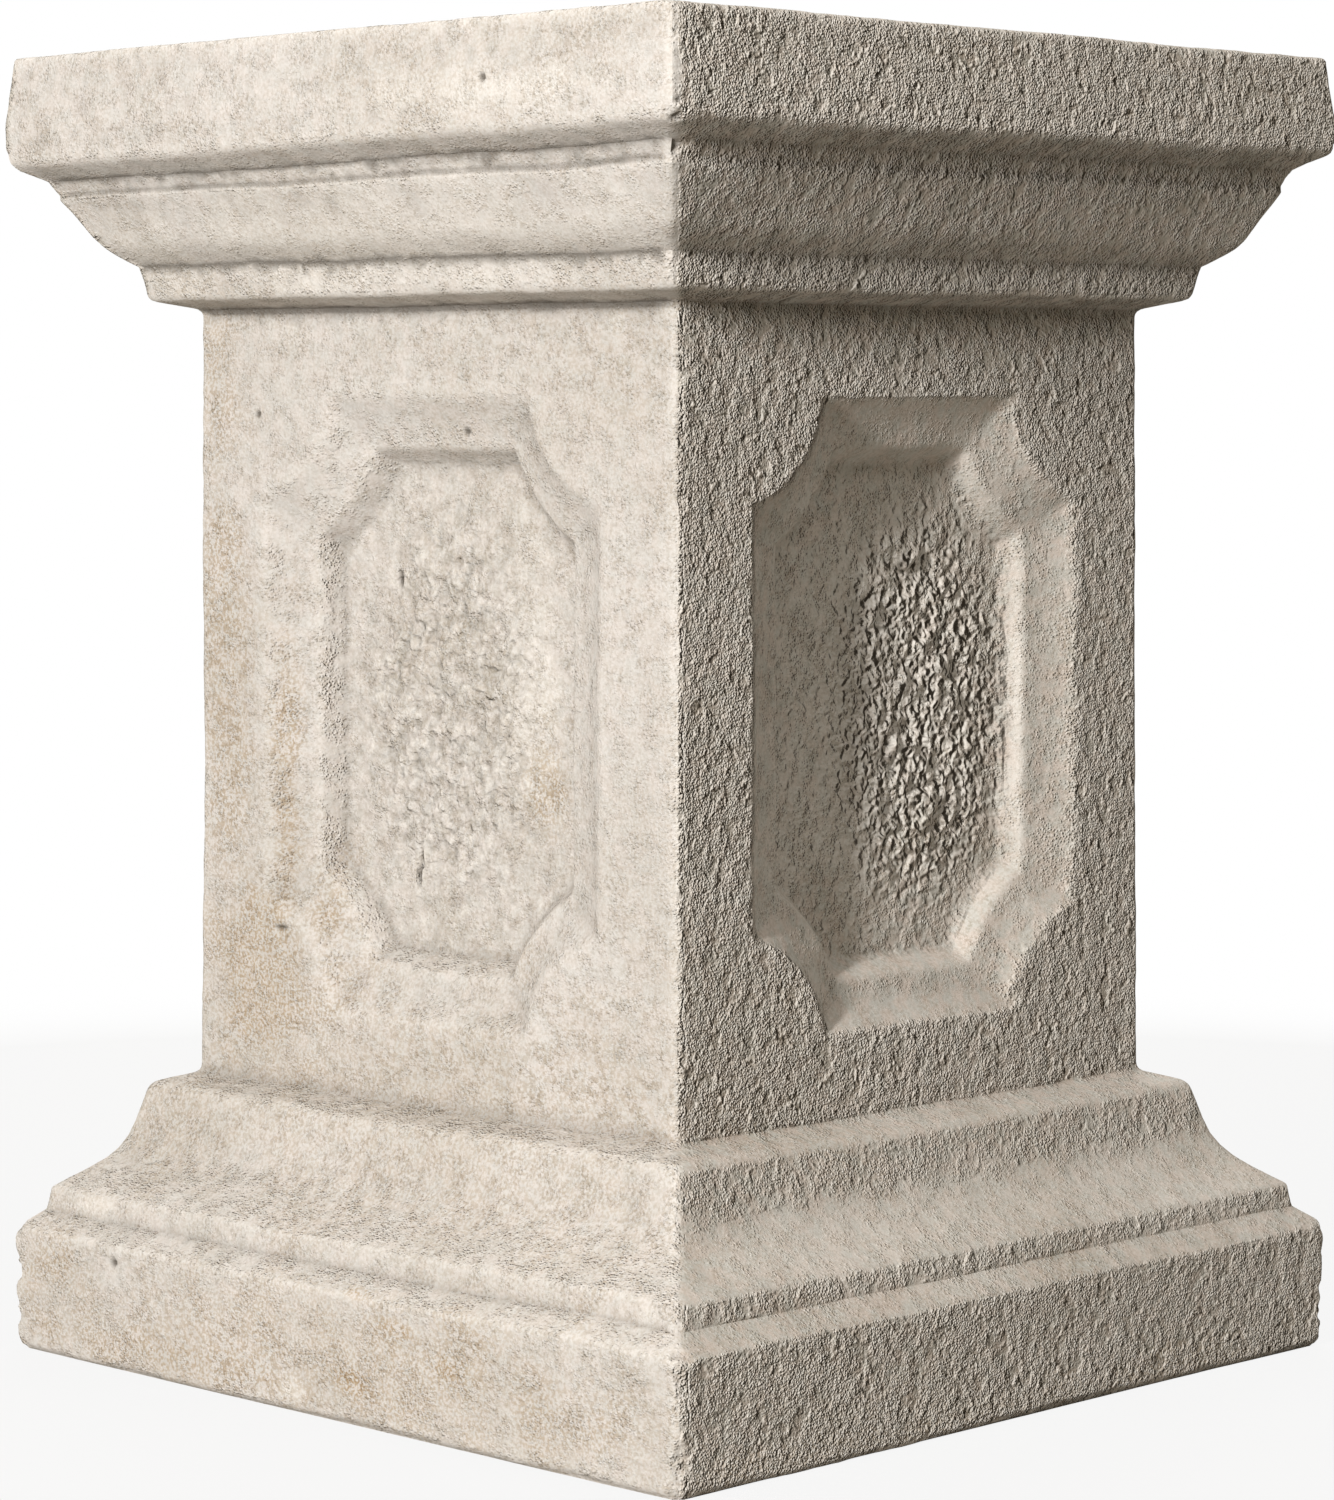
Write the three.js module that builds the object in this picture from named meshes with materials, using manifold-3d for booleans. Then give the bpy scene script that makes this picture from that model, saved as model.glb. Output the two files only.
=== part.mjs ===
// A square garden pedestal of cast stone: a moulded base, a tapered shaft with a sunk panel on each face,
// and a moulded cap. It came out of its mould in one piece, so it is one solid.
// Millimetres, +Z up, with the origin at the centre of the underside.
import * as THREE from "three";
import { mergeVertices } from "three/addons/utils/BufferGeometryUtils.js";
import Module from "manifold-3d";

// Overall size, the shaft, and the ease of the vertical arrises
const HEIGHT = 558.8;
const WIDTH = 406.4;
const SHAFT_FOOT = { half: 144.9, level: 121.7, round: 4 };
const SHAFT_HEAD = { half: 142.4, level: 450.8, round: 4 };
const ARRIS_ROUND = 3;

// Base mouldings from the ground up: the rise and the outward step of each member, and the round at its top
const PLINTH_FLARE = 1;
const PLINTH_FOOT_ROUND = 5;
const BASE = [
  { name: "plinth", rise: 53.7, out: PLINTH_FLARE, round: 3.5 },
  { name: "plinth ledge", rise: 7.8, out: -9.8, round: 2 },
  { name: "fillet", rise: 9.7, out: -1.8, round: 3 },
  { name: "cavetto", rise: 16.4, out: -22.5, round: 37 },
  { name: "neck", rise: 29.3, out: -8.4, round: 6 },
];

// Cap mouldings from the head of the shaft up
const CAP = [
  { name: "soffit", rise: 4.4, out: 16.7, round: 3.5 },
  { name: "band", rise: 14.1, out: 3.2, round: 1.5 },
  { name: "roll of the ovolo", rise: 7.8, out: 10.7, round: 26 },
  { name: "ovolo", rise: 22.9, out: 13.4, round: 2 },
  { name: "quirk", rise: 2, out: -0.3, round: 2 },
  { name: "fillet", rise: 6.6, out: 3.5, round: 1.5 },
  { name: "slab soffit", rise: 7.1, out: 12.9, round: 6 },
  { name: "slab belly", rise: 15.1, out: 0.1, round: 20 },
];
const SLAB_BATTER = 3.3;
const SLAB_TOP_ROUND = 2;

// Sunk panel on each face: scooped corners, a coved border, a short steep step, then the pecked field.
// The border and the step are a little narrower or wider at the panel's ends than at its sides, and the cove
// turns from steep at the panel's edge to nearly flat at the step.
const PANEL_WIDTH = 202;
const PANEL_HEIGHT = 258;
const PANEL_LEVEL = 285.3;
const SCOOP_RADIUS = 50;
const SCOOP_SET_OUT = 7.5;
const BORDER = { side: 24.5, end: 21, depth: 9.5 };
const STEP = { side: 5.5, end: 6.5, depth: 10 };
const COVE_EDGE_SLOPE = THREE.MathUtils.degToRad(37);
const COVE_FOOT_SLOPE = THREE.MathUtils.degToRad(6);

// Pecking of the field: length, width and height of a lump, the margin over which the lumps die away,
// and how far and how often the rows of lumps bend
const LUMP_LENGTH = 19;
const LUMP_WIDTH = 15;
const LUMP_HEIGHT = 0.9;
const FIELD_MARGIN = 22;
const ROW_BEND = { amount: 1.6, pace: 0.61 };
const COLUMN_BEND = { amount: 1.9, pace: 0.43 };

// Fineness of the curves
const ROUND_STEPS = 4;
const ARRIS_POINTS = 3;
const SCOOP_STEPS = 7;
const COVE_STEPS = 4;
const FIELD_COLUMNS = 24;
const FIELD_ROWS = 32;

const FACES = 4;
const QUARTER = Math.PI / 2;
const WELD = 1e-3;

const wasm = await Module();
wasm.setup();

// A closed solid from a geometry, with the triangles that have shrunk to nothing left out
function solidFrom(geometry) {
  const bare = geometry.clone();
  bare.deleteAttribute("normal");
  bare.deleteAttribute("uv");
  const welded = mergeVertices(bare, WELD);
  const corners = welded.index.array;
  const triangles = [];
  for (let i = 0; i < corners.length; i += 3) {
    const [a, b, c] = corners.slice(i, i + 3);
    if (a !== b && b !== c && c !== a) triangles.push(a, b, c);
  }
  const vertProperties = welded.attributes.position.array;
  const triVerts = new Uint32Array(triangles);
  return new wasm.Manifold(new wasm.Mesh({ numProp: 3, vertProperties, triVerts }));
}

function geometryFrom(solid) {
  const { vertProperties, triVerts } = solid.getMesh();
  const geometry = new THREE.BufferGeometry();
  geometry.setAttribute("position", new THREE.BufferAttribute(vertProperties, 3));
  geometry.setIndex(new THREE.BufferAttribute(triVerts, 1));
  geometry.computeVertexNormals();
  return geometry;
}

// Corners of the moulding profile, from the foot of the plinth to the top of the slab
function profileCorners() {
  const foot = { half: WIDTH / 2 - PLINTH_FLARE, level: 0, round: PLINTH_FOOT_ROUND };
  const corners = [foot];
  const stack = (members) => {
    for (const { rise, out, round } of members) {
      const below = corners.at(-1);
      corners.push({ half: below.half + out, level: below.level + rise, round });
    }
  };
  stack(BASE);
  corners.push(SHAFT_FOOT, SHAFT_HEAD);
  stack(CAP);
  corners.push({ half: corners.at(-1).half - SLAB_BATTER, level: HEIGHT, round: SLAB_TOP_ROUND });
  return corners.map(({ half, level, round }) => ({ at: new THREE.Vector2(half, level), round }));
}

// The profile from axis to axis, each corner eased by a curve that is tangent to both of its lines
function easedProfile(corners) {
  const path = new THREE.Path().moveTo(0, 0);
  corners.forEach(({ at, round }, i) => {
    const before = i > 0 ? corners[i - 1].at : new THREE.Vector2(0, 0);
    const after = i < corners.length - 1 ? corners[i + 1].at : new THREE.Vector2(0, HEIGHT);
    const back = before.clone().sub(at);
    const on = after.clone().sub(at);
    const ease = round / Math.tan(back.angleTo(on) / 2);
    const start = back.setLength(ease).add(at);
    const end = on.setLength(ease).add(at);
    path.lineTo(start.x, start.y);
    path.quadraticCurveTo(at.x, at.y, end.x, end.y);
  });
  path.lineTo(0, HEIGHT);
  return path.getPoints(ROUND_STEPS);
}

// The profile carried round a square with eased arrises: a turned form with its rings drawn out into squares
function squareTurned(profile) {
  const ring = FACES * ARRIS_POINTS;
  const geometry = new THREE.LatheGeometry(profile, ring);
  const position = geometry.attributes.position;
  for (let i = 0; i <= ring; i++) {
    const corner = Math.floor((i % ring) / ARRIS_POINTS);
    const turn = (corner + (i % ARRIS_POINTS) / (ARRIS_POINTS - 1)) * QUARTER;
    const middle = (corner + 0.5) * QUARTER;
    profile.forEach(({ x: half, y: level }, j) => {
      const round = Math.min(ARRIS_ROUND, half);
      const core = half - round;
      const x = Math.sign(Math.sin(middle)) * core + Math.sin(turn) * round;
      const z = Math.sign(Math.cos(middle)) * core + Math.cos(turn) * round;
      position.setXYZ(j + i * profile.length, x, level, z);
    });
  }
  return geometry.rotateX(QUARTER);
}

// The panel's outline drawn in from its sides and ends: straight runs, and corners scooped by arcs about
// fixed centres
function panelOutline({ side, end }) {
  const radius = SCOOP_RADIUS + (side + end) / 2;
  const start = -QUARTER - Math.asin((SCOOP_SET_OUT + side) / radius);
  const finish = -2 * QUARTER + Math.asin((SCOOP_SET_OUT + end) / radius);
  const across = PANEL_WIDTH / 2 + SCOOP_SET_OUT;
  const up = PANEL_HEIGHT / 2 + SCOOP_SET_OUT;
  const scoop = new THREE.EllipseCurve(across, up, radius, radius, start, finish, true);
  const corner = scoop.getPoints(SCOOP_STEPS);
  const mirrored = (x, y) => corner.map((point) => new THREE.Vector2(x * point.x, y * point.y));
  return [
    ...mirrored(1, 1),
    ...mirrored(-1, 1).reverse(),
    ...mirrored(-1, -1),
    ...mirrored(1, -1).reverse(),
  ];
}

// A solid through outlines of equal point count, each at its own depth, from the deepest to the shallowest
function lofted(sections) {
  const count = sections[0].points.length;
  const position = sections.flatMap(({ points, depth }) => points.flatMap(({ x, y }) => [x, y, -depth]));
  const index = [];
  for (let s = 0; s + 1 < sections.length; s++) {
    for (let i = 0; i < count; i++) {
      const a = s * count + i;
      const b = s * count + ((i + 1) % count);
      index.push(a, b, b + count, a, b + count, a + count);
    }
  }
  const last = (sections.length - 1) * count;
  for (const [a, b, c] of THREE.ShapeUtils.triangulateShape(sections[0].points, [])) index.push(c, b, a);
  for (const [a, b, c] of THREE.ShapeUtils.triangulateShape(sections.at(-1).points, [])) {
    index.push(last + a, last + b, last + c);
  }
  const geometry = new THREE.BufferGeometry();
  geometry.setAttribute("position", new THREE.Float32BufferAttribute(position, 3));
  geometry.setIndex(index);
  return geometry;
}

// Height of the pecked field over its mean plane: two waves bend each other into lumps, fading at the edges
function pecking(x, y) {
  const along = (2 * Math.PI * y) / LUMP_LENGTH;
  const across = (2 * Math.PI * x) / LUMP_WIDTH;
  const columns = Math.sin(across + COLUMN_BEND.amount * Math.sin(COLUMN_BEND.pace * along));
  const rows = Math.sin(along + ROW_BEND.amount * Math.sin(ROW_BEND.pace * across));
  const fromSide = PANEL_WIDTH / 2 - BORDER.side - STEP.side - Math.abs(x);
  const fromEnd = PANEL_HEIGHT / 2 - BORDER.end - STEP.end - Math.abs(y);
  const fade = (distance) => THREE.MathUtils.smoothstep(distance, 0, FIELD_MARGIN);
  return LUMP_HEIGHT * columns * rows * fade(fromSide) * fade(fromEnd);
}

// A block standing over the panel, whose inner face is the pecked field
function fieldBlock(fieldDepth) {
  const reach = 2 * fieldDepth;
  const block = new THREE.BoxGeometry(PANEL_WIDTH, PANEL_HEIGHT, reach, FIELD_COLUMNS, FIELD_ROWS, 1);
  const position = block.attributes.position;
  for (let i = 0; i < position.count; i++) {
    const lump = pecking(position.getX(i), position.getY(i));
    if (position.getZ(i) < 0) position.setZ(i, lump - fieldDepth);
  }
  return block;
}

// The coved border from the step out to the panel's edge, as outlines at their depths
function coveSections() {
  const span = Math.sin(COVE_EDGE_SLOPE) - Math.sin(COVE_FOOT_SLOPE);
  const drop = Math.cos(COVE_FOOT_SLOPE) - Math.cos(COVE_EDGE_SLOPE);
  const sections = [];
  for (let i = 0; i <= COVE_STEPS; i++) {
    const slope = THREE.MathUtils.lerp(COVE_FOOT_SLOPE, COVE_EDGE_SLOPE, i / COVE_STEPS);
    const inward = (Math.sin(COVE_EDGE_SLOPE) - Math.sin(slope)) / span;
    const sunk = (Math.cos(slope) - Math.cos(COVE_EDGE_SLOPE)) / drop;
    const outline = panelOutline({ side: BORDER.side * inward, end: BORDER.end * inward });
    sections.push({ points: outline, depth: BORDER.depth * sunk });
  }
  return sections;
}

// All that is taken out of one face, with that face as the plane z = 0 and the stone below it
function panelCutter() {
  const fieldDepth = BORDER.depth + STEP.depth;
  const below = 1 + (2 * LUMP_HEIGHT) / STEP.depth;
  const footing = { side: BORDER.side + STEP.side * below, end: BORDER.end + STEP.end * below };
  const funnel = lofted([
    { points: panelOutline(footing), depth: BORDER.depth + STEP.depth * below },
    ...coveSections(),
    { points: panelOutline({ side: 0, end: 0 }), depth: -fieldDepth },
  ]);
  return solidFrom(funnel).intersect(solidFrom(fieldBlock(fieldDepth)));
}

function pedestal() {
  const cutter = panelCutter();
  const taper = Math.atan((SHAFT_FOOT.half - SHAFT_HEAD.half) / (SHAFT_HEAD.level - SHAFT_FOOT.level));
  const half = SHAFT_FOOT.half - Math.tan(taper) * (PANEL_LEVEL - SHAFT_FOOT.level);
  let carved = solidFrom(squareTurned(easedProfile(profileCorners())));
  for (let k = 0; k < FACES; k++) {
    const place = new THREE.Matrix4().makeRotationZ(k * QUARTER);
    place.multiply(new THREE.Matrix4().makeTranslation(0, -half, PANEL_LEVEL));
    place.multiply(new THREE.Matrix4().makeRotationX(QUARTER - taper));
    carved = carved.subtract(cutter.transform(place.elements));
  }
  const stone = new THREE.MeshStandardMaterial({ color: "#cfc6b8", roughness: 0.95, metalness: 0 });
  const mesh = new THREE.Mesh(geometryFrom(carved), stone);
  mesh.name = "pedestal";
  return mesh;
}

const model = new THREE.Group();
model.add(pedestal());

export default model;
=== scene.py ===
"""A weathered square pedestal of cast stone: the casting with its wear, its stone, and a plain stage."""
import math

import bmesh
import bpy
import numpy as np
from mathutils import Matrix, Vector


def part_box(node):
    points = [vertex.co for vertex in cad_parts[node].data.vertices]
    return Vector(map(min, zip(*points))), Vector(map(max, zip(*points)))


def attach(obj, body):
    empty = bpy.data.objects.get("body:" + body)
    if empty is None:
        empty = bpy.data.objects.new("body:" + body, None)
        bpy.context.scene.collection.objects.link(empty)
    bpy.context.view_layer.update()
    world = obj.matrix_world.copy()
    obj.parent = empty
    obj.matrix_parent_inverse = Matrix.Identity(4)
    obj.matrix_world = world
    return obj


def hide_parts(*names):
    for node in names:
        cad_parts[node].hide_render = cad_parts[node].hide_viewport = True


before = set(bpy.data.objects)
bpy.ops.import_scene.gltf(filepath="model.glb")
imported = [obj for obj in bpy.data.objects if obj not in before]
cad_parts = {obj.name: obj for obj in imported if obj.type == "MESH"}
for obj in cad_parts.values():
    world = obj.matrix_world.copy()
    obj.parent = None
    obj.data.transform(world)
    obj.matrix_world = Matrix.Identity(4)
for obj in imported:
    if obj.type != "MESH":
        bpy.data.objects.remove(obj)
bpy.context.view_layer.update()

bl_info = {
    "name": "Weathered Garden Pedestal",
    "version": (1, 0, 0),
    "blender": (4, 5, 0),
    "location": "3D View > Sidebar > Pedestal",
    "description": "Weathers a cast-stone pedestal and sets it on a plain stage",
    "category": "Object",
}

MM = 0.001
NODE = "pedestal"
BODY = "root"
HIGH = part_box(NODE)[1]

# Levels and half widths of the pedestal's main forms
SHAFT_FOOT_LEVEL = 121.7 * MM
SHAFT_HEAD_LEVEL = 450.8 * MM
SHAFT_FOOT_HALF = 144.9 * MM
SHAFT_HEAD_HALF = 142.4 * MM
SLAB_FOOT_LEVEL = 515 * MM
PANEL_LEVEL = 285.3 * MM
PANEL_HALF_WIDTH = 101 * MM
PANEL_HALF_HEIGHT = 129 * MM
FIELD_DEPTH = 19.5 * MM
FIELD_HALF_WIDTH = 71 * MM
FIELD_HALF_HEIGHT = 101.5 * MM

# The front, right, back and left faces in turn: the outward direction, and the way to the right across each
FRONT, RIGHT = 0, 1
OUTWARDS = np.array([(0, -1), (1, 0), (0, 1), (-1, 0)])
RIGHTWARDS = np.array([(1, 0), (0, 1), (-1, 0), (0, -1)])

# Seeds that keep each kind of unevenness apart from the others
SEED_SAG = 11
SEED_WANDER = 23
SEED_HAND = 31
SEED_PECK = 47
SEED_WEAR = 59
SEED_CHIP = 67
SEED_RAG = 73
SEED_SPOT = 83
SEED_GRIT = 97

# Direction of the light that the painted shade and highlights on the sand grains are worked out from
PAINTED_LIGHT_SIDE = (0, -1, 0.15)

# Lean of the lumps in the fields to the right, per unit of height, and where they are highest on each face
LUMP_SLANT = 0.3
LUMP_MIDDLES = np.array([-4, 18, 6, -10]) * MM

HASH_STEPS = np.array([73856093, 19349663, 83492791])
HASH_SEED_STEP = 49979687
HASH_MIX = 0x45D9F3B
HASH_MASK = 0xFFFFFFFF
DRIFT_GAIN = 1.5
WELD = 0.01 * MM
NET_DEPTH = 9
SHARP_ANGLE = math.radians(32)

# Rounds of relaxing: the panels' edges, the front panel's rim, worn arrises, chips, and the marks on the skin
PANEL_ROUNDS = 14
RIM_ROUNDS = 16
WEAR_ROUNDS = 5
CHIP_ROUNDS = 12
MARK_ROUNDS = 14

# How far a point stands proud or lies sunk to be marked in full, and how high the underside reaches
ARRIS_STAND = 0.9 * MM
CREASE_SINK = 0.7 * MM
FRONT_CREASE_SINK = 0.4 * MM
UNDERSIDE = 0.4 * MM

# The rain-washed front against the other faces: height and coarseness of its lumps, its grit and its ageing
FRONT_LUMPS = 0.6
FRONT_PECKING = 0.4
FRONT_GRIT = 0.17
FRONT_AGE = 0.35

# Soft lights: the side of their panels, and their places as azimuth, distance and height
SOFT_LIGHT_SIDE = 2
TOP_LIGHT = (0, 0, 2.5)
SIDE_LIGHT = (math.radians(95), 1.5, 2.6)
BACK_LIGHT = (math.radians(225), 2.6, 1.6)

# Blow holes: face, place across, level, width, height and depth
PITS = [
    (FRONT, -23.4 * MM, 222 * MM, 1.2 * MM, 3.4 * MM, 4 * MM),
    (FRONT, -25.2 * MM, 214 * MM, 1.3 * MM, 4.2 * MM, 4 * MM),
    (FRONT, -37 * MM, 338 * MM, 1.4 * MM, 4 * MM, 1.8 * MM),
    (FRONT, 15.7 * MM, 400 * MM, 2 * MM, 1.6 * MM, 1.3 * MM),
    (FRONT, -104.9 * MM, 407 * MM, 1.6 * MM, 1.6 * MM, 1.2 * MM),
    (FRONT, -91 * MM, 189 * MM, 4 * MM, 1.2 * MM, 0.9 * MM),
    (FRONT, 97.4 * MM, 535 * MM, 1.6 * MM, 1.6 * MM, 1.5 * MM),
    (FRONT, -133.7 * MM, 46.7 * MM, 2 * MM, 2 * MM, 1.5 * MM),
    (RIGHT, -85.4 * MM, 452 * MM, 1.4 * MM, 1.4 * MM, 2.2 * MM),
]

# Earth stains, painted shade on the front's base, and pale bloom on the faces: face, place across, level,
# width, height and strength
STAINS_AND_BASE_SHADE = [
    (FRONT, -128 * MM, 300 * MM, 26 * MM, 190 * MM, 0.45),
    (FRONT, -100 * MM, 165 * MM, 60 * MM, 60 * MM, 0.6),
    (FRONT, -92 * MM, 250 * MM, 12 * MM, 110 * MM, 0.55),
    (FRONT, 49.8 * MM, 256 * MM, 16 * MM, 26 * MM, 0.6),
    (FRONT, 20 * MM, 55 * MM, 14 * MM, 5 * MM, 0.8),
    (FRONT, 48 * MM, 44 * MM, 22 * MM, 5 * MM, 0.7),
    (FRONT, 75 * MM, 32 * MM, 16 * MM, 6 * MM, 0.7),
    (FRONT, 18 * MM, 19 * MM, 16 * MM, 8 * MM, 0.9),
    (FRONT, -60 * MM, 12 * MM, 180 * MM, 16 * MM, 0.5),
    # These two broad spots are painted shade: the front's base darker towards the bottom, as the main light
    # falls off downwards
    (FRONT, 0, 24 * MM, 300 * MM, 40 * MM, 0.4),
    (FRONT, 0, 120 * MM, 320 * MM, 80 * MM, 0.25),
    (FRONT, -176 * MM, 40 * MM, 26 * MM, 24 * MM, 0.5),
    (RIGHT, 0, 4 * MM, 300 * MM, 14 * MM, 0.5),
]
BLOOMS = [
    (FRONT, -158.6 * MM, 66 * MM, 18 * MM, 7 * MM, 0.45),
    (FRONT, 176.4 * MM, 66 * MM, 10 * MM, 7 * MM, 0.35),
    (FRONT, -19 * MM, 9.5 * MM, 12 * MM, 6 * MM, 0.8),
    (FRONT, 40 * MM, 300 * MM, 22 * MM, 60 * MM, 0.4),
    (FRONT, 100 * MM, 530 * MM, 90 * MM, 14 * MM, 0.4),
    (RIGHT, 76 * MM, 285 * MM, 5 * MM, 90 * MM, 0.8),
    (RIGHT, 0, 285 * MM, 110 * MM, 140 * MM, 0.5),
    (FRONT, 0, 478 * MM, 300 * MM, 34 * MM, 0.45),
    (RIGHT, 0, 80 * MM, 300 * MM, 30 * MM, 0.35),
    (RIGHT, -30 * MM, 464 * MM, 200 * MM, 12 * MM, 0.35),
]


def linear(hex_colour):
    """An sRGB hex colour as linear red, green and blue."""
    channels = [int(hex_colour[i:i + 2], 16) / 255 for i in (1, 3, 5)]
    return tuple(c / 12.92 if c <= 0.04045 else ((c + 0.055) / 1.055) ** 2.4 for c in channels)


def smoothstep(value, low, high):
    t = np.clip((value - low) / (high - low), 0, 1)
    return t * t * (3 - 2 * t)


def drift(points, size, seed):
    """Smooth noise of about -1 to 1, with swells about `size` metres across; size may differ by axis."""
    cells = points / size
    corner = np.floor(cells).astype(np.int64)
    within = cells - corner
    ease = within ** 3 * (within * (within * 6 - 15) + 10)
    total = np.zeros(len(points))
    for step in np.ndindex(2, 2, 2):
        mixed = ((corner + step) * HASH_STEPS).sum(axis=1) + seed * HASH_SEED_STEP
        mixed = (mixed ^ (mixed >> 15)) * HASH_MIX & HASH_MASK
        mixed = (mixed ^ (mixed >> 13)) * HASH_MIX & HASH_MASK
        lean = np.stack([(mixed >> shift) & 1023 for shift in (2, 12, 22)], axis=1) / 511.5 - 1
        share = np.where(step, ease, 1 - ease).prod(axis=1)
        total += share * (lean * (within - step)).sum(axis=1)
    return total * DRIFT_GAIN


def layered(points, size, seed, layers):
    """Drift with finer and fainter layers on top."""
    size = np.asarray(size, float)
    return sum(drift(points, size / 2 ** k, seed + k) / 2 ** k for k in range(layers))


class Net:
    """The points of an even mesh, with what is needed to work relief into them."""

    def __init__(self, mesh):
        self.mesh = mesh
        self.points = self.read(mesh.vertices, "co", 3)
        self.edges = self.read(mesh.edges, "vertices", 2, np.int32)
        self.links = np.bincount(self.edges.ravel(), minlength=len(self.points))[:, None]

    @staticmethod
    def read(items, name, width, kind=np.float32):
        flat = np.empty(len(items) * width, kind)
        items.foreach_get(name, flat)
        return flat.reshape(-1, width).astype(float if kind is np.float32 else kind)

    def write(self):
        self.mesh.vertices.foreach_set("co", self.points.astype(np.float32).ravel())
        self.mesh.update()

    def normals(self):
        self.write()
        return self.read(self.mesh.vertex_normals, "vector", 3)

    def relaxed(self, rounds):
        """The points after each has moved halfway to the middle of its neighbours, some rounds over."""
        first, second = self.edges.T
        count = len(self.points)
        points = self.points
        for _ in range(rounds):
            pull = [
                np.bincount(first, points[second, k], count) + np.bincount(second, points[first, k], count)
                for k in range(3)
            ]
            points = (points + np.stack(pull, axis=1) / self.links) / 2
        return points

    def proud(self, rounds):
        """How far each point stands out of the relaxed surface: above 0 on arrises, below 0 in creases."""
        return ((self.points - self.relaxed(rounds)) * self.normals()).sum(axis=1)

    def by_face(self):
        """The face each point belongs to, its place across that face, and its distance out from the axis."""
        outs = self.points[:, :2] @ OUTWARDS.T
        face = outs.argmax(axis=1)
        across = (self.points[:, :2] * RIGHTWARDS[face]).sum(axis=1)
        return face, across, outs.max(axis=1)


def even_net(source, grid):
    """A copy of the solid as an even net of points, close enough together to carry relief."""
    mesh = source.data.copy()
    mesh.materials.clear()
    shape = bmesh.new()
    shape.from_mesh(mesh)
    bmesh.ops.remove_doubles(shape, verts=shape.verts, dist=WELD)
    shape.to_mesh(mesh)
    shape.free()
    piece = bpy.data.objects.new("weathered_pedestal", mesh)
    bpy.context.scene.collection.objects.link(piece)
    net = piece.modifiers.new("Even net", "REMESH")
    net.mode = "SHARP"
    net.octree_depth = NET_DEPTH
    net.scale = HIGH.z / (grid * 2 ** NET_DEPTH)
    net.sharpness = 1
    net.use_remove_disconnected = True
    apply_modifiers(piece)
    open_pinches(piece.data)
    return piece


def open_pinches(mesh):
    """Closes the net afresh round each edge that more than two faces share."""
    shape = bmesh.new()
    shape.from_mesh(mesh)
    pinched = {corner for edge in shape.edges if len(edge.link_faces) > 2 for corner in edge.verts}
    bmesh.ops.delete(shape, geom=list(pinched), context="VERTS")
    rims = [edge for edge in shape.edges if edge.is_boundary]
    patches = bmesh.ops.holes_fill(shape, edges=rims, sides=0)["faces"]
    bmesh.ops.triangulate(shape, faces=patches)
    shape.to_mesh(mesh)
    shape.free()


def apply_modifiers(piece):
    """Makes what the piece's modifiers show its own mesh."""
    graph = bpy.context.evaluated_depsgraph_get()
    finished = bpy.data.meshes.new_from_object(piece.evaluated_get(graph))
    spent = piece.data
    piece.modifiers.clear()
    piece.data = finished
    bpy.data.meshes.remove(spent)


def shaft_half(level):
    share = (level - SHAFT_FOOT_LEVEL) / (SHAFT_HEAD_LEVEL - SHAFT_FOOT_LEVEL)
    return SHAFT_FOOT_HALF + (SHAFT_HEAD_HALF - SHAFT_FOOT_HALF) * share


def sag_mould(net, settings):
    """Lets the whole form wander as a hand-made mould does, the mouldings most of all."""
    rest = net.points.copy()
    level = rest[:, 2]
    for k in range(3):
        net.points[:, k] += settings.sag * layered(rest, settings.sag_length, SEED_SAG + 7 * k, 2)
    in_base = 1 - smoothstep(level, SHAFT_FOOT_LEVEL - 12 * MM, SHAFT_FOOT_LEVEL + 12 * MM)
    in_cap = smoothstep(level, SHAFT_HEAD_LEVEL - 12 * MM, SHAFT_HEAD_LEVEL + 12 * MM)
    wave = layered(rest, np.array([60, 60, 26]) * MM, SEED_WANDER, 3)
    net.points[:, 2] += settings.moulding_wander * (in_base + in_cap) * wave
    near_slab_foot = 1 - smoothstep(np.abs(level - SLAB_FOOT_LEVEL), 8 * MM, 28 * MM)
    net.points[:, 2] += settings.slab_lean * near_slab_foot * (rest[:, 0] + rest[:, 1]) / (2 * HIGH.x)
    turn = settings.cap_twist * in_cap + settings.base_twist * in_base
    net.points[:, 0] -= turn * rest[:, 1]
    net.points[:, 1] += turn * rest[:, 0]


def peck_fields(net, settings):
    """Raises the rough lumps in the sunk fields, strongest in the middle of each, and returns both masks."""
    face, across, out = net.by_face()
    level = net.points[:, 2]
    sunk = smoothstep(shaft_half(level) - out, FIELD_DEPTH - 4 * MM, FIELD_DEPTH - 1.5 * MM)
    inside = (np.abs(level - PANEL_LEVEL) < PANEL_HALF_HEIGHT) & (np.abs(across) < PANEL_HALF_WIDTH)
    field = np.flatnonzero(inside & (sunk > 0))
    place = np.stack([across - LUMP_SLANT * level, level, face * 0.5], axis=1)[field]
    off_middle = across - LUMP_MIDDLES[face]
    reach = np.hypot(off_middle / FIELD_HALF_WIDTH, (level - PANEL_LEVEL) / FIELD_HALF_HEIGHT)[field]
    fade = (1 - 0.85 * smoothstep(reach, 0.45, 0.95)) * sunk[field]
    bend = place + 2.5 * MM * np.stack([drift(place, 9 * MM, SEED_PECK + k) for k in range(3)], axis=1)
    lump_size = np.array([settings.lump_width, settings.lump_length, 1])
    lumps = 2 * np.abs(drift(bend, lump_size, SEED_PECK + 5)) - 0.6
    lumps += 0.8 * drift(bend, lump_size * [1.6, 1.6, 1], SEED_PECK + 6)
    lumps += 0.5 * drift(bend, lump_size * [0.5, 0.5, 1], SEED_PECK + 7)
    patches = 0.75 + 0.6 * drift(place, 26 * MM, SEED_PECK + 8)
    height = settings.lump_height * lumps * patches * fade * np.where(face[field] == FRONT, FRONT_LUMPS, 1)
    net.points[field, :2] += OUTWARDS[face[field]] * height[:, None]
    mask = np.zeros(len(net.points))
    mask[field] = fade
    return mask, sunk * inside


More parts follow.
